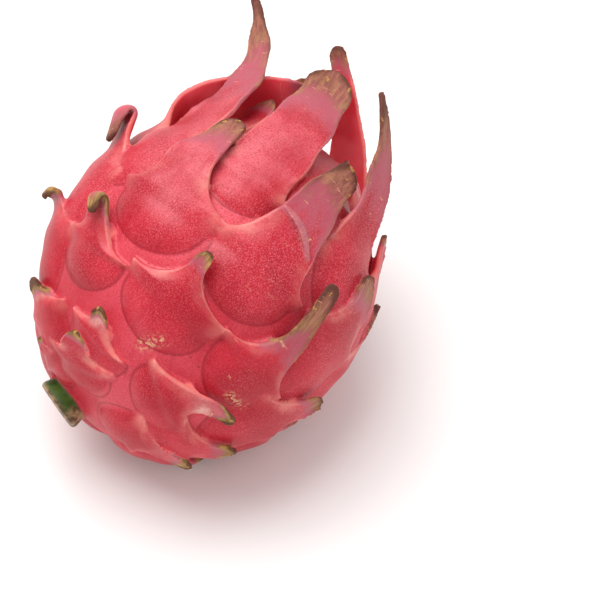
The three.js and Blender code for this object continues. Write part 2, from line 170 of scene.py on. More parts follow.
# The stump of the stem: heights above the body's surface, with the radius there.
STEM_PSI = 19
STEM_THETA = 224
STEM_OUTLINE = [
    (-5, 6.5), (0, 6.8), (1.5, 7.2), (2.6, 7.5), (3.4, 7.5), (4, 7.1), (4.2, 6.6), (3.8, 5), (3.4, 2),
]
STEM_SIDES = 64
STEM_DISH = 0.1  # how far the middle of the stump's end lies below the last ring
STEM_RIM_FROM = 4  # above this height the outline is more ragged
STEM_CORK_FROM = 3.0  # the height at which cork begins, and over how much it grows
STEM_CORK_SPAN = 0.8
STEM_ALL_CORK = 5  # a height at which the stump is cork all over
STEM_TORN_TOWARDS = (-0.12, -0.82, -0.53)  # the side on which the stump is torn and corky
STEM_TORN_FROM = 1.5
STEM_TORN_SPAN = 3.0
STEM_GRAIN = 5  # millimetres of grain in a radian round the stump

PAINTED_HIGHLIGHT_FROM = 0.84  # how far up a face has to look to get the painted highlight, a pale patchy colour standing in for the light from above
FOLD_SPAN = 0.12  # how much of its free length a folded tip takes to turn back

# Where a strip has peeled off one scale: v and u at its two ends.
TORN_SCALE = "upper 1"
TORN_FROM = (18.6, -6.5)
TORN_TO = (12.5, 8.4)
TORN_HALF_WIDTH = 1.5
TORN_ENDS = (0.03, 0.97)  # keeps the ends from closing to a point
TORN_TAPER = 0.6
TORN_ROWS = 24
TORN_COLUMNS = 9
TORN_BOW = 1.6  # how far the strip bows towards the tip
TORN_BEND = 0.7  # how much of the body's roundness it keeps
TORN_CURL = 1.7  # how high its free edge stands up
TORN_CURL_POWER = 1.4
TORN_LIFT = 0.75  # its upper face above the scale's
TORN_SINK = 0.1  # its lower face below the scale's, where it is free
TORN_ROOT = 0.45  # and how much deeper it goes towards the edge that still holds

# Healed scars: the two ends of each, in the frame's millimetres, and how wide it is.
SCARS = [
    ((-27.2, -13.4, 61.9), (-24.4, -17.9, 64.9), 1.5),
    ((-17.6, -35.2, 50.6), (-15.2, -37.4, 45.0), 1.3),
    ((17.5, -29.0, 78.5), (19.5, -30.5, 76.5), 0.8),
]

# Where the tips dry out, as a share of the free length, which is that from the web to the tip.
DRY_FROM = dict(stem=0.7, low=0.55, middle=0.6, upper=0.5, shoulder=0.5, crown=0.45, throat=0.5)
DRY_EDGE = 0.35  # how much drier the margins are than the middle

VOXEL = 0.5
SMOOTHING_ROUNDS = 8
SMOOTHING_SHARES = (0.5, -0.52)  # towards the neighbours' mean, then a little more away from it


def mix(a, b, t):
    return a + (b - a) * t


def clamp01(t):
    return np.clip(t, 0.0, 1.0)


def ease(t):
    t = clamp01(t)
    return t * t * (3 - 2 * t)


def unit(v):
    return v / (np.linalg.norm(v, axis=-1, keepdims=True) + 1e-12)


# The body's surface


def growth_line(s):
    """The growth line's point and its upper normal, s millimetres from its middle."""
    curvature = GROWTH_BEND / (2 * BODY_HALF_LENGTH)
    angle = GROWTH_TILT + curvature * np.asarray(s, float)
    x = (np.sin(angle) - math.sin(GROWTH_TILT)) / curvature
    z = (math.cos(GROWTH_TILT) - np.cos(angle)) / curvature
    zero = np.zeros_like(x)
    return BODY_MIDDLE + np.stack([x, zero, z], -1), np.stack([-np.sin(angle), zero, np.cos(angle)], -1)


def body_point(psi, theta):
    """A point of the smooth body, psi and theta in radians."""
    psi, theta = np.broadcast_arrays(np.asarray(psi, float), np.asarray(theta, float))
    radius = BODY_RADIUS * np.sin(psi)
    to_crown = psi > math.pi / 2
    depth = np.where(to_crown, CROWN_HOLLOW[0], STEM_HOLLOW[0])
    width = np.where(to_crown, CROWN_HOLLOW[1], STEM_HOLLOW[1])
    inward = depth * np.exp(-((radius / width) ** 2))
    reach = BODY_HALF_LENGTH * np.abs(np.cos(psi)) - inward
    point, upper = growth_line(np.where(to_crown, reach, -reach))
    return point + upper * (radius * np.cos(theta))[..., None] + SIDE * (radius * np.sin(theta))[..., None]


def body_frame(psi, theta):
    """Directions along the body to the crown, across and out, and the millimetres per radian of psi."""
    small = 0.02
    along = body_point(psi + small, theta) - body_point(psi - small, theta)
    per_radian = np.linalg.norm(along, axis=-1) / (2 * small)
    along = unit(along)
    across = unit(body_point(psi, theta + small) - body_point(psi, theta - small))
    return along, across, unit(np.cross(across, along)), per_radian


# The scales


class Chance:
    """The frame's own small generator, so that the scales fall in the same places."""

    def __init__(self, seed):
        self.state = seed

    def __call__(self, spread):
        self.state = (self.state * 16807) % 2147483647
        return (self.state / 2147483647 - 0.5) * 2 * spread


def make_scales():
    """All the scales: each ring's measures, the drawn differences and what is listed for single scales."""
    chance = Chance(20261)
    scales = []
    for ring in RINGS:
        for i in range(ring["count"]):
            drawn = dict(
                psi=ring["psi"] + chance(2),
                theta=ring["first"] + 360 / ring["count"] * i + chance(3),
                length=ring["length"] * (1 + chance(0.1)),
                lean=ring["lean"] + chance(3),
                curl=ring["curl"] + chance(12),
                swing=chance(12),
            )
            name = f"{ring['name']} {i}"
            dryness = dict(dry=DRY_FROM[ring["name"]], dry_edge=DRY_EDGE, bleach=0)
            flat = dict(twist=0, fold=0, fold_from=0.7)
            scales.append({**ring, **dryness, **flat, **drawn, **SEEN.get(name, {}), "name": name})
    return scales


FOOT_START = math.radians(-86)  # a foot's outline starts just short of a point
ROWS_ON_FOOT = 22
ROWS_ON_WEB = 9
ROWS_IN_NEST = 24
ROW_STEP = 0.8
COLUMNS = 37
LINE_STEPS = 160
SHORTEST_STRAP = 2.0
TIP_ROUNDING = 1.15  # how long the rounded end of a tip is, in half widths
TIP_LEAST = 0.02  # keeps the last row from closing to a point
HOOK_FROM = 0.7  # a hook starts at this share of the free length
HOOK_SPAN = 0.3
USUAL_HALF = 13  # narrower scales are lower too


def side_of(scale, side):
    """The scale's measures on one side, where "left" is towards smaller theta."""
    return {**scale, **scale.get(side, {})}


def outline(scale, side):
    """Places v along one side of the scale with its half width there, from the foot to the tip."""
    own = side_of(scale, side)
    half, reach, web, nest = own["half"], own["reach"], own["web"], own["nest"]
    neck, tip, length = own["neck"], own["tip"], own["length"]
    turn = np.linspace(FOOT_START, 0, ROWS_ON_FOOT)
    foot = np.stack([reach * np.sin(turn), half * np.cos(turn)], -1)
    rise = np.linspace(0, 1, ROWS_ON_WEB)[1:-1]
    shoulder = np.stack([web * rise, half * mix(1, WEB_WIDENING, ease(rise))], -1)
    turn = np.linspace(0, math.pi / 2, ROWS_IN_NEST)
    bay = np.stack([web + nest * (1 - np.cos(turn)), mix(half * WEB_WIDENING, neck, np.sin(turn))], -1)
    neck_at = web + nest
    strap = max(length - neck_at, SHORTEST_STRAP)
    t = np.linspace(0, 1, max(8, int(length / ROW_STEP)))[1:]
    width = mix(neck, tip, t)
    round_over = np.minimum(strap * (1 - t) / (tip * TIP_ROUNDING), 1)
    width = width * np.sqrt(np.maximum(1 - (1 - round_over) ** 2, TIP_LEAST))
    return np.concatenate([foot, shoulder, bay, np.stack([neck_at + strap * t, width], -1)])


def middle_line(scale, v):
    """The scale's middle line at the places v: points, and directions across and out."""
    psi, theta = math.radians(scale["psi"]), math.radians(scale["theta"])
    per_radian = float(body_frame(psi, theta)[3])
    web_psi = psi + scale["web"] / per_radian
    along, across, out, _ = body_frame(web_psi, theta)
    free_length = scale["length"] - scale["web"]

    def folded(s):
        return ease((s / free_length - scale["fold_from"]) / FOLD_SPAN)

    def direction_at(s):
        free = s / free_length
        degrees = (
            scale["lean"] * ease(s / scale["nest"])
            + scale["curl"] * free**1.5
            + scale["hook"] * clamp01((free - HOOK_FROM) / HOOK_SPAN) ** 2
            + scale["fold"] * folded(s)
        )
        rise = (np.radians(degrees) - s / per_radian)[:, None]
        turn = (math.radians(scale["swing"]) * free)[:, None]
        turned = along * np.cos(turn) + across * np.sin(turn)
        sideways = across * np.cos(turn) - along * np.sin(turn)
        outwards = out * np.cos(rise) - turned * np.sin(rise)
        twist = (math.radians(scale["twist"]) * ease(2 * free))[:, None]
        return (
            turned * np.cos(rise) + out * np.sin(rise),
            sideways * np.cos(twist) + outwards * np.sin(twist),
            outwards * np.cos(twist) - sideways * np.sin(twist),
        )

    s = np.linspace(0, max(free_length, v[-1] - scale["web"]), LINE_STEPS)
    step = s[1] - s[0]
    fold_turn = math.radians(scale["fold"]) * np.diff(folded(s))
    steps = step + (FOOT_HEIGHT + BLADE_LIFT) * fold_turn  # room for the outer face inside a fold
    moves = direction_at(s[:-1] + step / 2)[0] * steps[:, None]
    path = np.concatenate([np.zeros((1, 3)), np.cumsum(moves, 0)]) + body_point(web_psi, theta)
    free_v = np.maximum(v - scale["web"], 0)
    point = np.stack([np.interp(free_v, s, path[:, k]) for k in range(3)], -1)
    _, sideways, outwards = direction_at(free_v)
    on_body = v <= scale["web"]
    here = psi + v[on_body] / per_radian
    point[on_body] = body_point(here, theta)
    _, sideways[on_body], outwards[on_body], _ = body_frame(here, theta)
    return point, sideways, outwards


def outer_lift(scale, place):
    """How high the outer face stands above the middle line."""
    v, c, web, nest = place["v"], place["c"], place["web"], place["nest"]
    size = min(1.0, scale["half"] / USUAL_HALF)
    height = FOOT_HEIGHT * size
    t = np.minimum(v, 0) / scale["reach"]
    swelling = np.maximum((1 - c * c) * (1 - t * t), 0) ** FOOT_ROUNDNESS
    foot = (height + FOOT_SINK) * swelling - FOOT_SINK
    past = (v - web) / nest
    blade = height + BLADE_LIFT * size
    low = (blade - RIM_HEIGHT * size) * np.abs(c) ** 3 * (1 - ease(past))
    lip = LIP * size * np.abs(c) ** LIP_NARROWNESS * clamp01(2 - past)
    return mix(foot, blade - low + lip, ease(v / web))


def inner_lift(scale, place):
    """How high the inner face stands above the middle line; it is inside the body up to the web."""
    v, c = place["v"], place["c"]
    along = clamp01((v - scale["web"]) / (scale["length"] - scale["web"]))
    thickness = mix(THICK_AT_FOOT, THICK_AT_TIP, along) * (1 - EDGE_THINNING * c * c)
    leaves_body = ease((v - place["web"]) / (LEAVES_BODY * place["nest"]))
    return mix(-ROOT_DEPTH, outer_lift(scale, place) - thickness, leaves_body)


def closed_tube_faces(n_rows, n):
    """The quads that join n_rows closed rings of n points each."""
    ring = np.arange(n)
    starts = np.arange(n_rows - 1)[:, None] * n
    a = (starts + ring).ravel()
    b = (starts + (ring + 1) % n).ravel()
    return np.stack([a, b, b + n, a + n], -1)


def flat_tube_faces(n_rows, columns):
    """The quads of a tube of n_rows flat rings, each with two rows of columns, closed at both ends."""
    n = 2 * columns
    k = np.arange(columns - 1)
    cap = np.stack([k, n - 1 - k, n - 2 - k, k + 1], -1)
    return np.concatenate([closed_tube_faces(n_rows, n), cap, (cap + (n_rows - 1) * n)[:, ::-1]])


def end_fans(n_rows, n):
    """The triangles that close a tube's ends, round two middle points that follow its rings."""
    ring = np.arange(n)
    following = (ring + 1) % n
    top = (n_rows - 1) * n
    start = np.stack([np.full(n, n_rows * n), following, ring], -1)
    end = np.stack([np.full(n, n_rows * n + 1), top + ring, top + following], -1)
    return np.concatenate([start, end])


FAR = 6.0  # beyond this many millimetres, a distance to a rim or a crease doesn't matter
EMERGES = 0.06  # how far inside its outline a foot comes out of the body, as a share of its reach
DRY_EDGE_WIDTH = 1.0
WEB_WIDTH = 5.5
WEB_FADE = 1.1  # the pale web ends at this share of the nest
DRY_EDGE_GROWS = 0.3  # the dry margin has its full strength at this share of the free length
DRY_START = 0.1  # how far before its place the tip begins to dry
DRY_SHORTEST = 0.05  # the least share of the free length over which a tip dries
BLEACH_FROM = 0.1
BLEACH_SPAN = 0.35
BLEACH_RIM = 0.8  # a bleached blade keeps its colour within this of its rim
SEED_STEP = 7.31  # keeps the patterns of two scales apart

# What each point of the skin is.
SHARES = ("web", "inner", "stem", "foot", "cork", "torn", "bleach")  # from 0 to 1
DISTANCES = ("rim", "crease")  # to the nearest rim and crease, the latter below 0 outside the foot
GRAIN = ("u", "v", "seed")  # where it is on its scale, and which scale that is
FACTS = (*SHARES, *DISTANCES, *GRAIN, "dry")


def facts_of(n, **known):
    """What each of n points is, as a dictionary of arrays; a fact that isn't given is 0."""
    return {k: np.broadcast_to(known.get(k, 0.0), (n,)).astype(float) for k in FACTS}


def places_across(scale, columns):
    """Where the rows and the given columns meet: v along, u and c across, and the web and nest there."""
    left, right = outline(scale, "left"), outline(scale, "right")
    share = (columns[None, :] + 1) / 2
    c = columns[None, :] + 0 * left[:, :1]
    place = {"c": c, "v": mix(left[:, :1], right[:, :1], share)}
    place["half"] = np.where(c < 0, left[:, 1:], right[:, 1:])
    place["u"] = c * place["half"]
    for key in ("web", "nest"):
        place[key] = mix(side_of(scale, "left")[key], side_of(scale, "right")[key], share) + 0 * c
    return place


def waves(kinds, v, phase):
    """How far a margin waves at the places v."""
    return sum(height * np.sin(pace * v + turn * phase) for height, pace, turn in kinds)


def scale_face(scale, number, place, lift):
    """One face of a scale as a grid of points; lift is outer_lift or inner_lift."""
    u, v, c = place["u"], place["v"], place["c"]
    point, across, out = middle_line(scale, v.ravel())
    free = clamp01((v - scale["web"]) / (scale["length"] - scale["web"]))
    bend = BEND_ROUND_BODY * (1 - BEND_EASES * free)
    phase = number * WAVE_PHASES[0] + WAVE_PHASES[1] * np.sign(c)
    at_margin = np.abs(c) ** WAVES_NARROWNESS * ease(v / scale["web"])
    height = lift(scale, place) - bend * u * u / 2 + at_margin * waves(WAVES_UP, v, phase)
    u = u + np.sign(c) * at_margin * waves(WAVES_OUT, v, phase)
    grid = point + across * u.reshape(-1, 1) + out * height.reshape(-1, 1)
    return grid.reshape(*v.shape, 3)


def scale_facts(scale, number, outer, inner):
    """What each point of a scale's skin is."""
    keys = ("c", "u", "half", "v", "web", "nest")
    c, u, half, v, web, nest = (np.concatenate([outer[k], inner[k]], 1).ravel() for k in keys)
    free = clamp01((v - scale["web"]) / (scale["length"] - scale["web"]))
    rim = half * (1 - np.abs(c))
    past_foot = ease(v / web)
    from_edge = (1 - np.hypot(u / scale["half"], np.minimum(v, 0) / scale["reach"])) * scale["reach"]
    is_inner = np.tile(np.arange(2 * COLUMNS) >= COLUMNS, len(outer["v"]))
    dry_edge = scale["dry_edge"] * np.exp(-rim / DRY_EDGE_WIDTH) * ease(free / DRY_EDGE_GROWS)
    bleached = ease((free - BLEACH_FROM) / BLEACH_SPAN) * ease(rim / BLEACH_RIM)
    return facts_of(
        len(u),
        u=u,
        v=v,
        seed=number * SEED_STEP,
        dry=(free - scale["dry"]) / max(1 - scale["dry"], DRY_SHORTEST) + dry_edge - DRY_START,
        rim=np.minimum(rim + FAR * (1 - past_foot), FAR),
        web=(1 - ease(rim / WEB_WIDTH)) * past_foot * (1 - ease((v - web) / (WEB_FADE * nest))),
        inner=is_inner * (v > web),
        bleach=scale["bleach"] * bleached,
        crease=np.where(v < 1, np.clip(from_edge - EMERGES * scale["reach"], -FAR, FAR), FAR),
        foot=1.0,
    )


NO_TRIANGLES = np.empty((0, 3), int)


def scale_skin(scale, number):
    """The closed skin of a scale: its points, its quads and triangles and what each point is."""
    columns = np.sin(np.linspace(-1, 1, COLUMNS) * math.pi / 2)
    outer, inner = places_across(scale, columns), places_across(scale, columns[::-1])
    outer_face = scale_face(scale, number, outer, outer_lift)
    inner_face = scale_face(scale, number, inner, inner_lift)
    grid = np.concatenate([outer_face, inner_face], 1)
    facts = scale_facts(scale, number, outer, inner)
    return grid.reshape(-1, 3), flat_tube_faces(len(grid), COLUMNS), NO_TRIANGLES, facts


def torn_strip(scale):
    """A strip of rind that has peeled off a scale along one edge: a thin curled leaf."""
    t = np.linspace(0, 1, TORN_ROWS)[:, None]
    k = np.linspace(-1, 1, TORN_COLUMNS)[None, :]
    bow = np.sin(math.pi * t)
    v = mix(TORN_FROM[0], TORN_TO[0], t) + TORN_BOW * bow + 0 * k
    width = TORN_HALF_WIDTH * np.sin(math.pi * np.clip(t, *TORN_ENDS)) ** TORN_TAPER
    along_v, along_u = unit(np.array([TORN_TO[0] - TORN_FROM[0], TORN_TO[1] - TORN_FROM[1]]))
    u = mix(TORN_FROM[1], TORN_TO[1], t) + width * k * along_v
    v = v - width * k * along_u
    point, across, out = middle_line(scale, v.ravel())
    place = {"v": v, "c": u / scale["half"], "web": scale["web"] + 0 * v, "nest": scale["nest"] + 0 * v}
    base = outer_lift(scale, place) - BEND_ROUND_BODY * TORN_BEND * u * u / 2
    curl = TORN_CURL * bow * ((k + 1) / 2) ** TORN_CURL_POWER

    def sheet(lift):
        height = (base + lift).reshape(-1, 1)
        points = point + across * u.reshape(-1, 1) + out * height
        return points.reshape(TORN_ROWS, TORN_COLUMNS, 3)

    upper, lower = sheet(curl + TORN_LIFT), sheet(curl - TORN_ROOT * (1 - k) - TORN_SINK)
    grid = np.concatenate([upper, lower[:, ::-1]], 1)
    n = grid.shape[1]
    facts = facts_of(
        TORN_ROWS * n,
        u=np.tile(u[:, :1], n).ravel(),
        v=np.tile(v[:, :1], n).ravel(),
        torn=1.0,
        foot=1.0,
        crease=FAR,
        rim=FAR,
    )
    return grid.reshape(-1, 3), flat_tube_faces(TORN_ROWS, TORN_COLUMNS), NO_TRIANGLES, facts


BODY_RINGS = 180
BODY_SIDES = 280
POLE_GAP = 0.004  # radians from a pole to the first ring
FOOT_NEAR = 30  # no point of a foot is further than this from its middle


def body_skin(scales):
    """The bent egg, with a crease round each scale's foot."""
    psi = np.linspace(POLE_GAP, math.pi - POLE_GAP, BODY_RINGS)[:, None]
    theta = (np.arange(BODY_SIDES) * 2 * math.pi / BODY_SIDES)[None, :]
    poles = body_point(np.array([0.0, math.pi]), np.zeros(2))
    points = np.concatenate([body_point(psi, theta).reshape(-1, 3), poles])
    crease = np.full(len(points), FAR)
    for scale in scales:
        psi, theta = math.radians(scale["psi"]), math.radians(scale["theta"])
        along, across, _, _ = body_frame(psi, theta)
        away = points - body_point(psi, theta)
        u, v = away @ across, away @ along
        q = np.hypot(u / scale["half"], v / scale["reach"])
        outside = (q - 1 + EMERGES) * scale["reach"]
        near = (np.linalg.norm(away, axis=1) < FOOT_NEAR) & (v < 1) & (np.abs(outside) < np.abs(crease))
        crease = np.where(near, -outside, crease)
    facts = facts_of(len(points), crease=crease, rim=FAR, u=points[:, 1], v=points[:, 0], dry=-1.0)
    return points, closed_tube_faces(BODY_RINGS, BODY_SIDES), end_fans(BODY_RINGS, BODY_SIDES), facts


def stem_skin():
    """The stump: a short round post with a flared, ragged rim of cork and a dished end."""
    psi, theta = math.radians(STEM_PSI), math.radians(STEM_THETA)
    root = body_point(psi, theta)
    along, across, out, _ = body_frame(psi, theta)
    turn = np.arange(STEM_SIDES) * 2 * math.pi / STEM_SIDES
    rows = []
    for height, radius in STEM_OUTLINE:
        ragged = 1 + 0.05 * np.sin(3 * turn + 1) + 0.03 * np.sin(7 * turn) * (height > STEM_RIM_FROM)
        sideways = across * (radius * ragged * np.cos(turn))[:, None]
        forwards = along * (radius * ragged * np.sin(turn))[:, None]
        rows.append(root + out * height + (sideways + forwards))
    below = root + out * STEM_OUTLINE[0][0]
    above = root + out * (STEM_OUTLINE[-1][0] - STEM_DISH)
    points = np.concatenate([*rows, below[None], above[None]])
    n_rows = len(rows)
    ends = [STEM_OUTLINE[0][0], STEM_ALL_CORK]
    heights = np.concatenate([np.repeat([height for height, _ in STEM_OUTLINE], STEM_SIDES), ends])
    around = np.concatenate([np.tile(turn * STEM_GRAIN, n_rows), [0, 0]])
    torn_side = (points - root) @ unit(np.array(STEM_TORN_TOWARDS))
    rim_cork = ease((heights - STEM_CORK_FROM) / STEM_CORK_SPAN)
    cork = np.maximum(rim_cork, ease((torn_side - STEM_TORN_FROM) / STEM_TORN_SPAN))
    facts = facts_of(len(points), stem=1.0, u=around, v=heights, dry=-1.0, cork=cork, crease=FAR, rim=FAR)
    return points, closed_tube_faces(n_rows, STEM_SIDES), end_fans(n_rows, STEM_SIDES), facts


def mesh_object(name, points, quads, triangles):
    mesh = bpy.data.meshes.new(name)
    mesh.from_pydata((points * MM).tolist(), [], quads.tolist() + triangles.tolist())
    mesh.update()
    obj = bpy.data.objects.new(name, mesh)
    bpy.context.scene.collection.objects.link(obj)
    return obj


def gather_skins():
    """All the closed skins that cross each other, as one list of points, faces and facts."""
    scales = make_scales()
    skins = [body_skin(scales), stem_skin()]
    for number, scale in enumerate(scales, 1):
        skins.append(scale_skin(scale, number))
        if scale["name"] == TORN_SCALE:
            skins.append(torn_strip(scale))
    points, quads, triangles, facts = zip(*skins)
    starts = np.cumsum([0] + [len(p) for p in points[:-1]])
    return (
        np.concatenate(points),
        np.concatenate([q + start for q, start in zip(quads, starts)]),
        np.concatenate([t + start for t, start in zip(triangles, starts)]),
        {k: np.concatenate([f[k] for f in facts]) for k in FACTS},
    )


def read_vectors(elements, name):
    """One vector for each of a mesh's elements, as rows."""
    values = np.empty(len(elements) * 3, np.float32)
    elements.foreach_get(name, values)
    return values.reshape(-1, 3)


def smooth(points, edges, rounds):
    """Smooths without shrinking: each round draws points to their neighbours' mean, then lets go."""
    n = len(points)
    degree = np.bincount(edges.ravel(), minlength=n).astype(float)
    for _ in range(rounds):
        for share in SMOOTHING_SHARES:
            mean = np.empty_like(points)
            for k in range(3):
                total = np.bincount(edges[:, 0], points[edges[:, 1], k], n)
                total += np.bincount(edges[:, 1], points[edges[:, 0], k], n)
                mean[:, k] = total / np.maximum(degree, 1)
            points = points + share * (mean - points)
    return points


def fused_fruit():
    """One skin round everything: the mesh, its points and normals, and what each point is."""
    points, quads, triangles, facts = gather_skins()
    rough = mesh_object("rough_skins", points, quads, triangles)
    remesh = rough.modifiers.new("join", "REMESH")
    remesh.mode = "VOXEL"
    remesh.voxel_size = VOXEL * MM
    remesh.adaptivity = 0.0
    evaluated = rough.evaluated_get(bpy.context.evaluated_depsgraph_get())
    mesh = bpy.data.meshes.new_from_object(evaluated)
    source = rough.data
    source_normals = read_vectors(source.vertices, "normal")
    bpy.data.objects.remove(rough)
    bpy.data.meshes.remove(source)

    edges = np.empty(len(mesh.edges) * 2, np.int32)
    mesh.edges.foreach_get("vertices", edges)
    uneven = read_vectors(mesh.vertices, "co").astype(float) / MM
    skin = smooth(uneven, edges.reshape(-1, 2), SMOOTHING_ROUNDS)
    skin[:, 2] = np.maximum(skin[:, 2], 0.0)
    mesh.vertices.foreach_set("co", (skin * MM).astype(np.float32).ravel())
    mesh.update()
    normals = read_vectors(mesh.vertices, "normal")
    return mesh, skin, normals, transfer(points, source_normals, facts, skin, normals)


NEIGHBOURS = 6
BLUR = 0.6  # how far a fact spreads where two skins meet
FACING_AWAY = 0.02  # what still counts of a source point that faces another way


def transfer(points, point_normals, facts, skin, normals):
    """The facts of the skin's points, from the nearest source points that face the same way."""
    tree = KDTree(len(points))
    for i, p in enumerate(points.tolist()):
        tree.insert(p, i)
    tree.balance()
    index = np.zeros((len(skin), NEIGHBOURS), np.int64)
    distance = np.zeros((len(skin), NEIGHBOURS))
    for i, p in enumerate(skin.tolist()):
        for k, (_, j, d) in enumerate(tree.find_n(p, NEIGHBOURS)):
            index[i, k] = j
            distance[i, k] = d
    facing = np.einsum("nkj,nj->nk", point_normals[index], normals)
    weight = np.maximum(facing, FACING_AWAY) ** 2 * np.exp(-((distance / BLUR) ** 2)) + 1e-9
    weight /= weight.sum(1, keepdims=True)
    best = index[np.arange(len(skin)), weight.argmax(1)]
    found = {k: (facts[k][index] * weight).sum(1) for k in FACTS}
    for k in GRAIN:
        found[k] = facts[k][best]  # never a mean of two scales
    return found


def scarred(points):
    """How near each point is to a scar, from 0 to 1."""
    amount = np.zeros(len(points))
    for start, end, width in SCARS:
        start, end = np.array(start), np.array(end)
        line = end - start
        t = clamp01((points - start) @ line / (line @ line))
        away = np.linalg.norm(points - start - t[:, None] * line, axis=1)
        amount = np.maximum(amount, np.exp(-((away / width) ** 2)))
    return amount


def add_attribute(mesh, name, values):
    attribute = mesh.attributes.new(name, "FLOAT", "POINT")
    attribute.data.foreach_set("value", np.asarray(values, np.float32))


def add_vector(mesh, name, values):
    attribute = mesh.attributes.new(name, "FLOAT_VECTOR", "POINT")
    attribute.data.foreach_set("vector", np.asarray(values, np.float32).ravel())


# Materials. A colour with two tones is written as a pair.

RED = ("#AC0E22", "#C42133")
CHANNEL = ("#C4293A", "#D44150")
PATCH = "#D84A59"
# painted highlight on the faces that look up
PAINTED_HIGHLIGHT = "#E87F88"
BLEACHED = ("#C8686C", "#E3AFA4")
FLECK = "#E97480"
PORE = "#960F22"
VEIN = "#AE1A33"
SPECK = "#6A1520"
# the inner faces' own red, brightened as painted light
INNER_RED_AND_PAINTED_LIGHT = ("#DC3342", "#EE6069")
SALMON = ("#DF6468", "#EE968A")
# painted highlight along the rims
PAINTED_RIM_HIGHLIGHT = "#EE9A90"
# painted shade for the creases round the feet
PAINTED_CREASE_SHADE = "#981728"
TORN = ("#C9505C", "#EBA096")
DUSKY = "#AE5766"
TAN = ("#7C4639", "#AC7259")
STRAW = "#A17A4C"
OLIVE = ("#7C6C2C", "#B59A4E")
BURNT = "#552B22"
CRUMB = "#C9984A"
SCRATCH = "#DDA783"
SCAR = "#EDB48C"
GREEN = ("#27440C", "#486617")
CORK = ("#5A3E26", "#A88C66")
FLOOR = ("#F4F3F1", "#F7F6F5")


def linear(hex_colour):
    """A colour written as #RRGGBB, in the linear light that nodes use."""
    values = [int(hex_colour[i:i + 2], 16) / 255 for i in (1, 3, 5)]
    return [c / 12.92 if c <= 0.04045 else ((c + 0.055) / 1.055) ** 2.4 for c in values] + [1.0]


class Nodes:
    """Short ways to add and join shader nodes."""

    def __init__(self, material):
        material.use_nodes = True
        self.tree = material.node_tree
        self.tree.nodes.clear()
        self.place = self.node("ShaderNodeTexCoord").outputs["Object"]

    def node(self, kind, **settings):
        made = self.tree.nodes.new(kind)
        for key, value in settings.items():
            setattr(made, key, value)
        return made

    def put(self, socket, value):
        """Gives a socket another node's output, a colour written as #RRGGBB or a plain value."""
        if isinstance(value, bpy.types.NodeSocket):
            self.tree.links.new(value, socket)
        elif isinstance(value, str):
            socket.default_value = linear(value)
        else:
            socket.default_value = value

    def fact(self, name, output="Fac"):
        return self.node("ShaderNodeAttribute", attribute_name=name).outputs[output]

    def operate(self, operation, a, b=0.0):
        made = self.node("ShaderNodeMath", operation=operation)
        self.put(made.inputs[0], a)
        self.put(made.inputs[1], b)
        return made.outputs[0]

    def times(self, a, b):
        return self.operate("MULTIPLY", a, b)

    def plus(self, a, b):
        return self.operate("ADD", a, b)

    def noise(self, vector, scale, detail, roughness):
        made = self.node("ShaderNodeTexNoise")
        self.put(made.inputs["Vector"], vector)
        self.put(made.inputs["Scale"], scale)
        self.put(made.inputs["Detail"], detail)
        self.put(made.inputs["Roughness"], roughness)
        return made.outputs["Fac"]

    def speckle(self, scale, detail, roughness=0.55):
        """A pattern that looks the same in every direction, with scale spots in a metre."""
        return self.noise(self.place, scale, detail, roughness)

    def span(self, value, low, high, to_low=0.0, to_high=1.0):
        """Goes smoothly from to_low to to_high while the value goes from low to high."""
        made = self.node("ShaderNodeMapRange", interpolation_type="SMOOTHSTEP")
        self.put(made.inputs["Value"], value)
        self.put(made.inputs["From Min"], low)
        self.put(made.inputs["From Max"], high)
        self.put(made.inputs["To Min"], to_low)
        self.put(made.inputs["To Max"], to_high)
        return made.outputs["Result"]

    def blend(self, share, a, b):
        """Colour a where the share is 0, and colour b where it is 1."""
        made = self.node("ShaderNodeMix", data_type="RGBA")
        self.put(made.inputs["Factor"], share)
        self.put(made.inputs[6], a)
        self.put(made.inputs[7], b)
        return made.outputs[2]

    def two_tone(self, pattern, low, high, tones):
        """The first tone where the pattern is below low, and the second where it is above high."""
        return self.blend(self.span(pattern, low, high), *tones)

    def surface(self, inputs):
        """Ends the tree in one shader with these inputs."""
        shader = self.node("ShaderNodeBsdfPrincipled")
        for name, value in inputs.items():
            self.put(shader.inputs[name], value)
        output = self.node("ShaderNodeOutputMaterial")
        self.put(output.inputs["Surface"], shader.outputs["BSDF"])


class RindNodes(Nodes):
    """The rind's nodes, with the facts and patterns that several layers share."""

    def __init__(self, material):
        super().__init__(material)
        split = self.node("ShaderNodeSeparateXYZ")
        self.put(split.inputs[0], self.place)
        self.along_x = split.outputs["X"]
        self.grain = self.fact("grain", "Vector")
        self.dry = self.fact("dry")
        self.patches = self.speckle(22, 2)
        self.flecks = self.speckle(2800, 2, 0.6)
        self.streaks = self.streak((0.9, 0.14, 1.0), 4, 0.65)
        crust = self.speckle(900, 3, 0.65)
        self.scars = self.times(self.fact("scar"), self.span(crust, 0.5, 0.56))

    def streak(self, pace, detail, roughness):
        """A pattern drawn out along each scale; pace is per millimetre across and along."""
        made = self.node("ShaderNodeMapping")
        self.put(made.inputs["Vector"], self.grain)
        self.put(made.inputs["Scale"], pace)
        return self.noise(made.outputs["Vector"], 1.0, detail, roughness)


def red_clouds(n):
    """Soft clouds of lighter and deeper red, paler in the channels between the feet."""
    clouds = n.speckle(60, 3)
    feet = n.two_tone(clouds, 0.36, 0.66, RED)
    channels = n.two_tone(clouds, 0.4, 0.65, CHANNEL)
    colour = n.blend(n.span(n.fact("foot"), 0.2, 0.9), channels, feet)
    return n.blend(n.times(n.span(n.patches, 0.5, 0.72), 0.4), colour, PATCH)


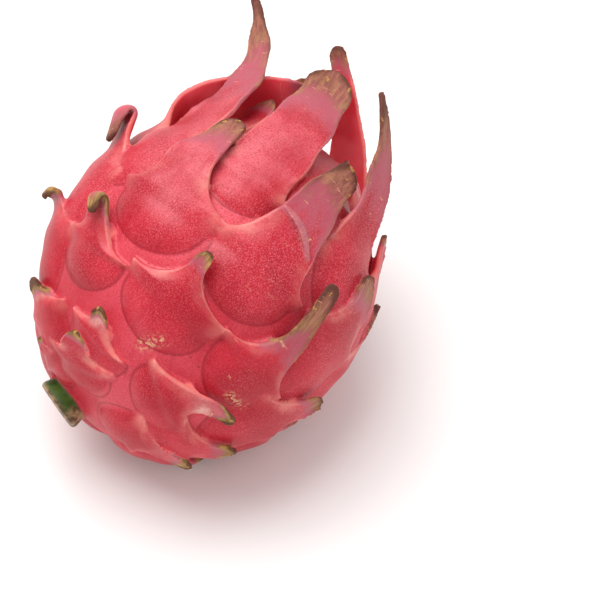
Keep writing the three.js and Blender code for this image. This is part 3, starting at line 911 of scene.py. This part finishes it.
def painted_highlight(n, colour):
    """A painted highlight: pale, patchy colour on the faces that look up, and blades that are bleached low
    down.
    """
    amount = n.times(n.fact("painted_highlight"), n.span(n.speckle(75, 3), 0.35, 0.65, 0.2, 0.6))
    colour = n.blend(amount, colour, PAINTED_HIGHLIGHT)
    bleached = n.two_tone(n.speckle(160, 3), 0.4, 0.6, BLEACHED)
    return n.blend(n.fact("bleach"), colour, bleached)


def fine_grain(n, colour):
    """Pale flecks with deeper red pores between them, both weaker towards the stem."""
    coarse = n.span(n.along_x, -0.03, 0.012, 0.5, 1.0)
    thick = n.times(n.span(n.speckle(45, 2), 0.35, 0.65, 0.24, 0.68), coarse)
    colour = n.blend(n.times(n.span(n.flecks, 0.45, 0.66), thick), colour, FLECK)
    pores = n.span(n.speckle(2100, 2, 0.6), 0.5, 0.68)
    return n.blend(n.times(pores, n.times(coarse, 0.6)), colour, PORE)


def veins_and_specks(n, colour):
    """Faint streaks along each scale, and a few tiny dark specks."""
    veins = n.streak((0.4, 0.05, 1.0), 3, 0.6)
    colour = n.blend(n.times(n.span(veins, 0.5, 0.7), 0.28), colour, VEIN)
    specks = n.speckle(700, 2, 0.5)
    return n.blend(n.times(n.span(specks, 0.735, 0.76), 0.7), colour, SPECK)


def inner_faces(n, colour):
    """The inner faces of the bracts: their own more even red, made brighter still as painted light against
    the shade of the hollow they face.
    """
    return n.blend(n.fact("inner"), colour, n.two_tone(n.speckle(70, 2), 0.35, 0.7, INNER_RED_AND_PAINTED_LIGHT))


def margins(n, colour):
    """Salmon webs, a painted highlight along the thin rims, painted shade in the creases round the feet,
    and the pale peeled strip.
    """
    salmon = n.two_tone(n.speckle(200, 2), 0.4, 0.6, SALMON)
    bare = n.times(n.fact("web"), n.span(n.patches, 0.4, 0.62, 0.4, 1.0))
    colour = n.blend(n.times(bare, 0.9), colour, salmon)
    # painted highlight: a pale line along each rim
    rim = n.span(n.fact("rim"), 0.1, 0.75, 1.0, 0.0)
    colour = n.blend(n.times(rim, 0.42), colour, PAINTED_RIM_HIGHLIGHT)
    # painted shade: a dark line along each foot's crease
    crease = n.span(n.operate("ABSOLUTE", n.fact("crease")), 0.05, 0.5, 1.0, 0.0)
    colour = n.blend(n.times(crease, 0.6), colour, PAINTED_CREASE_SHADE)
    return n.blend(n.fact("torn"), colour, n.two_tone(n.flecks, 0.42, 0.6, TORN))


def dried_tips(n, colour):
    """Dried tips: dusky pink first, then streaked tan, olive near the stem, and dark at the end."""
    blotches = n.streak((0.3, 0.16, 1.0), 3, 0.6)
    dryness = n.plus(n.dry, n.times(n.operate("SUBTRACT", n.streaks, 0.5), 0.4))
    dryness = n.plus(dryness, n.times(n.operate("SUBTRACT", blotches, 0.5), 0.8))
    colour = n.blend(n.span(dryness, -0.4, 0.1, 0.0, 0.8), colour, DUSKY)
    tan = n.two_tone(n.streaks, 0.36, 0.66, TAN)
    tan = n.blend(n.times(n.span(blotches, 0.48, 0.7), 0.55), tan, STRAW)
    by_stem = n.span(n.along_x, -0.012, 0.016, 0.75, 0.0)
    tan = n.blend(by_stem, tan, n.two_tone(n.streaks, 0.4, 0.6, OLIVE))
    colour = n.blend(n.span(dryness, 0.05, 0.6, 0.0, 0.9), colour, tan)
    colour = n.blend(n.span(dryness, 0.65, 1.0, 0.0, 0.85), colour, BURNT)
    crumbs = n.speckle(380, 3, 0.6)
    crumbly = n.times(n.span(crumbs, 0.62, 0.68), n.span(n.dry, 0.25, 0.7))
    return n.blend(n.times(crumbly, 0.75), colour, CRUMB)


def healed_marks(n, colour):
    """Thin healed scratches across the blades, and scars of scattered pale cork."""
    scratches = n.streak((0.22, 1.5, 1.0), 2, 0.5)
    scratched = n.times(n.span(scratches, 0.71, 0.73), n.span(n.dry, -0.9, -0.3))
    colour = n.blend(n.times(scratched, 0.7), colour, SCRATCH)
    return n.blend(n.scars, colour, SCAR)


def stump(n, colour):
    """The stump: green where fresh, with a brown corky rim."""
    green = n.two_tone(n.speckle(140, 3), 0.4, 0.65, GREEN)
    cork = n.two_tone(n.speckle(400, 3), 0.4, 0.62, CORK)
    return n.blend(n.fact("stem"), colour, n.blend(n.fact("cork"), green, cork))


def relief(n):
    """Fine grain, soft dents, raised scars, and ridges along the dry tips."""
    dents = n.speckle(130, 3)
    ridges = n.times(n.streaks, n.span(n.dry, 0.0, 0.8, 0.0, 2.0))
    height = n.plus(n.times(n.flecks, 0.22), n.times(dents, 0.8))
    height = n.plus(n.plus(height, ridges), n.scars)
    bump = n.node("ShaderNodeBump")
    n.put(bump.inputs["Strength"], 0.6)
    n.put(bump.inputs["Distance"], 0.0005)
    n.put(bump.inputs["Height"], height)
    return bump.outputs["Normal"]


# From the rind itself to what lies over it.
LAYERS = (painted_highlight, fine_grain, veins_and_specks, inner_faces, margins, dried_tips, healed_marks, stump)


def rind_material():
    material = bpy.data.materials.new("rind")
    n = RindNodes(material)
    colour = red_clouds(n)
    for layer in LAYERS:
        colour = layer(n, colour)
    n.surface({
        "Base Color": colour,
        "Roughness": n.span(n.dry, 0.0, 0.8, 0.42, 0.7),
        "Subsurface Weight": 0.22,
        "Subsurface Radius": (1.0, 0.25, 0.2),
        "Subsurface Scale": 0.0025,
        "Specular IOR Level": 0.27,
        "Normal": relief(n),
    })
    return material


def floor_material():
    material = bpy.data.materials.new("pale_floor")
    n = Nodes(material)
    n.surface({"Base Color": n.blend(n.speckle(3, 2), *FLOOR), "Roughness": 0.8})
    return material


# The fruit


def build_fruit():
    mesh, skin, normals, facts = fused_fruit()
    mesh.name = "dragon_fruit_skin"
    for name in SHARES:
        add_attribute(mesh, name, clamp01(facts[name]))
    for name in DISTANCES:
        add_attribute(mesh, name, facts[name])
    upward = normals[:, 2].astype(float)
    # painted highlight: how much each face looks up
    add_attribute(mesh, "painted_highlight", ease((upward - PAINTED_HIGHLIGHT_FROM) / (1 - PAINTED_HIGHLIGHT_FROM)))
    add_attribute(mesh, "scar", scarred(skin))
    add_attribute(mesh, "dry", np.clip(facts["dry"], -1, 1.5))
    add_vector(mesh, "grain", np.stack([facts[k] for k in GRAIN], -1))
    mesh.polygons.foreach_set("use_smooth", np.ones(len(mesh.polygons), bool))
    mesh.materials.clear()
    mesh.materials.append(rind_material())
    fruit = bpy.data.objects.new("dragon_fruit_skin", mesh)
    bpy.context.scene.collection.objects.link(fruit)
    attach(fruit, "root")
    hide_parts(NODE)


# The stage, the lights and the camera

PHOTO_SIZE = 600
PIXELS_PER_MM = 3.6
CAMERA_DISTANCE = 620.0
CAMERA_AZIMUTH = math.radians(-48)
CAMERA_ELEVATION = math.radians(50)
BODY_IN_PHOTO = (203, 287)  # the pixel at which the body's middle is seen
SENSOR = 36.0

# Each lamp's direction as (right, up, back) shares, its distance and size, and its power in watts.
LAMPS = dict(
    key=((-0.22, 0.74, 0.6), 900, 800, 8.0),
    fill=((0.6, -0.1, 0.9), 1000, 700, 1.0),
)
SURROUND_LIGHT = 0.68
FLOOR_HALF_SIZE = 3.0  # metres


def camera_axes():
    """The camera's directions to the right, up and back, away from what it sees."""
    az, el = CAMERA_AZIMUTH, CAMERA_ELEVATION
    back = np.array([math.sin(az) * math.cos(el), -math.cos(az) * math.cos(el), math.sin(el)])
    right = np.array([math.cos(az), math.sin(az), 0.0])
    return right, np.cross(back, right), back


def add_camera():
    """A camera at the photo's angle, aimed so that the body's middle falls on its pixel."""
    right, up, back = camera_axes()
    across = (BODY_IN_PHOTO[0] - PHOTO_SIZE / 2) / PIXELS_PER_MM
    down = (BODY_IN_PHOTO[1] - PHOTO_SIZE / 2) / PIXELS_PER_MM
    eye = BODY_MIDDLE + back * CAMERA_DISTANCE - right * across + up * down
    data = bpy.data.cameras.new("photo_camera")
    data.sensor_width = SENSOR
    data.lens = PIXELS_PER_MM * CAMERA_DISTANCE / PHOTO_SIZE * SENSOR
    data.clip_start = 0.01
    data.clip_end = 10
    camera = bpy.data.objects.new("photo_camera", data)
    turn = Matrix([list(right), list(up), list(back)]).transposed().to_4x4()
    camera.matrix_world = Matrix.Translation(Vector(eye * MM)) @ turn
    bpy.context.scene.collection.objects.link(camera)
    bpy.context.scene.camera = camera


def add_lamp(name, direction, distance, size, power):
    """A square lamp that looks at the fruit."""
    right, up, back = camera_axes()
    towards = unit(right * direction[0] + up * direction[1] + back * direction[2])
    data = bpy.data.lights.new(name, "AREA")
    data.size = size * MM
    data.energy = power
    lamp = bpy.data.objects.new(name, data)
    lamp.location = Vector((BODY_MIDDLE + towards * distance) * MM)
    lamp.rotation_euler = Vector(towards).to_track_quat("Z", "Y").to_euler()
    bpy.context.scene.collection.objects.link(lamp)


def add_floor():
    size = FLOOR_HALF_SIZE
    mesh = bpy.data.meshes.new("floor")
    corners = [(-size, -size, 0), (size, -size, 0), (size, size, 0), (-size, size, 0)]
    mesh.from_pydata(corners, [], [(0, 1, 2, 3)])
    mesh.materials.append(floor_material())
    floor = bpy.data.objects.new("floor", mesh)
    bpy.context.scene.collection.objects.link(floor)


def add_studio_light():
    world = bpy.data.worlds.new("studio")
    world.use_nodes = True
    background = world.node_tree.nodes["Background"]
    background.inputs["Color"].default_value = (1.0, 1.0, 1.0, 1.0)
    background.inputs["Strength"].default_value = SURROUND_LIGHT
    bpy.context.scene.world = world
    for name, lamp in LAMPS.items():
        add_lamp(name, *lamp)
    bpy.context.scene.view_settings.view_transform = "Standard"


build_fruit()
add_floor()
add_studio_light()
add_camera()
